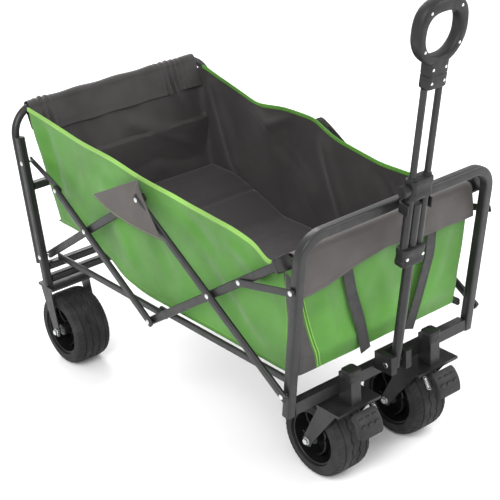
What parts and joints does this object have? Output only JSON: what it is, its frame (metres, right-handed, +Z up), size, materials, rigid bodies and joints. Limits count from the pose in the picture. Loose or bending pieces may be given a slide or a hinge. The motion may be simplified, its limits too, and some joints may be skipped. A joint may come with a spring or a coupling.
{
  "type": "folding camp wagon",
  "caption": "Folding four-wheeled camp wagon with a cloth basket between two steel hoops, scissor side bars, swivelling front casters and a telescopic pull handle.",
  "frame": {"origin": "On the ground under the middle of the whole wagon, handle included, with the frame open and the handle up.", "axes": "+X is the width, to the right when looking from the handle end towards the rear; -Y is the front, handle end; +Z is up."},
  "size_m": [0.5576, 1.0475, 0.9693],
  "materials": {
    "frame_steel": "black powder-coated steel, slightly satin",
    "bar_steel": "black powder-coated flat oval bar",
    "black_plastic": "moulded black nylon with a fine texture",
    "rim_plastic": "moulded black rim",
    "tyre": "black foam tyre with cut grooves",
    "zinc_bolt": "zinc plated bolt",
    "green_cloth": "coated polyester weave, green with lime stitching",
    "grey_cloth": "charcoal coated polyester weave"
  },
  "bodies": {
    "rear_frame": {"rear_u_tube": "frame_steel", "rear_post_left": "frame_steel", "rear_post_right": "frame_steel", "rear_crossbar_low": "frame_steel", "rear_crossbar_floor": "frame_steel", "rear_crossbar_middle": "frame_steel", "rear_bracket_left": "frame_steel", "rear_bracket_right": "frame_steel", "rear_wheel_left_axle": "zinc_bolt", "rear_wheel_right_axle": "zinc_bolt", "basket_side_left": "green_cloth", "basket_side_right": "green_cloth", "basket_rear_panel": "grey_cloth", "basket_front_panel": "green_cloth", "floor_mat": "grey_cloth"},
    "lift_bars": {"lift_bar_left": "bar_steel", "lift_bar_right": "bar_steel"},
    "lower_rear_bars": {"lower_rear_bar_left": "bar_steel", "lower_rear_bar_right": "bar_steel"},
    "front_bars": {"front_bar_left": "bar_steel", "front_bar_right": "bar_steel"},
    "rail_bars": {"rail_bar_left": "bar_steel", "rail_bar_right": "bar_steel", "rail_connector_left": "black_plastic", "rail_connector_right": "black_plastic", "front_rail": "frame_steel"},
    "front_frame": {"front_u_tube": "frame_steel", "front_crossbar": "frame_steel", "handle_bracket": "black_plastic"},
    "rear_links": {"rear_link_left": "bar_steel", "rear_link_right": "bar_steel"},
    "front_links": {"front_link_left": "bar_steel", "front_link_right": "bar_steel"},
    "rear_floor_bars": {"floor_bar_rear_left": "bar_steel", "floor_bar_rear_right": "bar_steel"},
    "front_floor_bars": {"floor_bar_front_left": "bar_steel", "floor_bar_front_right": "bar_steel"},
    "rear_wheel_left": {"rear_wheel_left_tyre": "tyre", "rear_wheel_left_rim": "rim_plastic"},
    "rear_wheel_right": {"rear_wheel_right_tyre": "tyre", "rear_wheel_right_rim": "rim_plastic"},
    "caster_left": {"caster_fork_left": "frame_steel", "front_wheel_left_axle": "zinc_bolt"},
    "caster_right": {"caster_fork_right": "frame_steel", "front_wheel_right_axle": "zinc_bolt"},
    "front_wheel_left": {"front_wheel_left_tyre": "tyre", "front_wheel_left_rim": "rim_plastic"},
    "front_wheel_right": {"front_wheel_right_tyre": "tyre", "front_wheel_right_rim": "rim_plastic"},
    "pedal_left": {"brake_pedal_left": "black_plastic"},
    "pedal_right": {"brake_pedal_right": "black_plastic"},
    "handle_lower": {"handle_centre_tube": "frame_steel"},
    "handle_middle": {"handle_lower_clamp": "black_plastic", "handle_upper_clamp": "black_plastic", "handle_outer_tube_left": "frame_steel", "handle_outer_tube_right": "frame_steel"},
    "handle_upper": {"handle_rod_left": "frame_steel", "handle_rod_right": "frame_steel", "handle_grip": "black_plastic"},
    "lock_knob": {"handle_lock_knob": "black_plastic"}
  },
  "joints": [
    {"name": "frame_fold", "type": "hinge", "parent": "rear_frame", "child": "lift_bars", "pos_m": [0, 0.45654, 0.26759], "axis": [-1, 0, 0], "range_deg": [0, 49.5], "deforming": ["basket_side_left", "basket_side_right", "basket_rear_panel", "basket_front_panel", "floor_mat"]},
    {"name": "crossing_rear", "type": "hinge", "parent": "lift_bars", "child": "lower_rear_bars", "pos_m": [0, 0.27538, 0.383], "axis": [1, 0, 0], "range_deg": [0, 91.26]},
    {"name": "top_pivot", "type": "hinge", "parent": "lift_bars", "child": "front_bars", "pos_m": [0, 0.062, 0.51894], "axis": [1, 0, 0], "range_deg": [0, 91.26]},
    {"name": "crossing_front", "type": "hinge", "parent": "front_bars", "child": "rail_bars", "pos_m": [0, -0.15138, 0.383], "axis": [-1, 0, 0], "range_deg": [0, 91.26]},
    {"name": "front_post_pivot", "type": "hinge", "parent": "front_bars", "child": "front_frame", "pos_m": [0, -0.35843, 0.25109], "axis": [-1, 0, 0], "range_deg": [0, 41.76]},
    {"name": "rear_link_pivot", "type": "hinge", "parent": "rear_frame", "child": "rear_links", "pos_m": [0, 0.48089, 0.4879], "axis": [-1, 0, 0], "range_deg": [0, 100]},
    {"name": "front_link_pivot", "type": "hinge", "parent": "front_frame", "child": "front_links", "pos_m": [0, -0.39199, 0.4733], "axis": [1, 0, 0], "range_deg": [0, 67.43]},
    {"name": "rear_floor_pivot", "type": "hinge", "parent": "rear_frame", "child": "rear_floor_bars", "pos_m": [0, 0.436, 0.262], "axis": [-1, 0, 0], "range_deg": [0, 78]},
    {"name": "front_floor_pivot", "type": "hinge", "parent": "front_frame", "child": "front_floor_bars", "pos_m": [0, -0.34, 0.262], "axis": [1, 0, 0], "range_deg": [0, 78]},
    {"name": "rear_wheel_left_spin", "type": "hinge", "parent": "rear_frame", "child": "rear_wheel_left", "pos_m": [-0.219, 0.432, 0.085], "axis": [1, 0, 0], "continuous": true},
    {"name": "rear_wheel_right_spin", "type": "hinge", "parent": "rear_frame", "child": "rear_wheel_right", "pos_m": [0.219, 0.432, 0.085], "axis": [1, 0, 0], "continuous": true},
    {"name": "caster_left_swivel", "type": "hinge", "parent": "front_frame", "child": "caster_left", "pos_m": [-0.107, -0.381, 0.184], "axis": [0, 0, 1], "continuous": true},
    {"name": "caster_right_swivel", "type": "hinge", "parent": "front_frame", "child": "caster_right", "pos_m": [0.107, -0.381, 0.184], "axis": [0, 0, 1], "continuous": true},
    {"name": "front_wheel_left_spin", "type": "hinge", "parent": "caster_left", "child": "front_wheel_left", "pos_m": [-0.107, -0.306, 0.085], "axis": [1, 0, 0], "continuous": true},
    {"name": "front_wheel_right_spin", "type": "hinge", "parent": "caster_right", "child": "front_wheel_right", "pos_m": [0.107, -0.306, 0.085], "axis": [1, 0, 0], "continuous": true},
    {"name": "brake_left", "type": "hinge", "parent": "caster_left", "child": "pedal_left", "pos_m": [-0.107, -0.407, 0.176], "axis": [1, 0, 0], "range_deg": [0, 14]},
    {"name": "brake_right", "type": "hinge", "parent": "caster_right", "child": "pedal_right", "pos_m": [0.107, -0.407, 0.176], "axis": [1, 0, 0], "range_deg": [0, 14]},
    {"name": "handle_pitch", "type": "hinge", "parent": "front_frame", "child": "handle_lower", "pos_m": [0, -0.391, 0.235], "axis": [1, 0, 0], "range_deg": [0, 78]},
    {"name": "handle_sleeve_slide", "type": "slide", "parent": "handle_lower", "child": "handle_middle", "axis": [0, -0.1616, 0.9869], "range_m": [-0.155, 0.07]},
    {"name": "handle_rod_slide", "type": "slide", "parent": "handle_middle", "child": "handle_upper", "axis": [0, -0.1616, 0.9869], "range_m": [-0.07, 0]},
    {"name": "lock_knob_turn", "type": "hinge", "parent": "handle_middle", "child": "lock_knob", "pos_m": [0, -0.45338, 0.61593], "axis": [1, 0, 0], "range_deg": [0, 270]}
  ],
  "couplings": [
    {"joint": "crossing_rear", "follows": "frame_fold", "ratio": 1.8431},
    {"joint": "top_pivot", "follows": "frame_fold", "ratio": 1.8431},
    {"joint": "crossing_front", "follows": "frame_fold", "ratio": 1.8431},
    {"joint": "front_post_pivot", "follows": "frame_fold", "ratio": 0.84308},
    {"joint": "rear_link_pivot", "follows": "frame_fold", "ratio": 2.0197},
    {"joint": "front_link_pivot", "follows": "frame_fold", "ratio": 1.3616},
    {"joint": "rear_floor_pivot", "follows": "frame_fold", "ratio": 1.5754},
    {"joint": "front_floor_pivot", "follows": "frame_fold", "ratio": 1.5754}
  ]
}
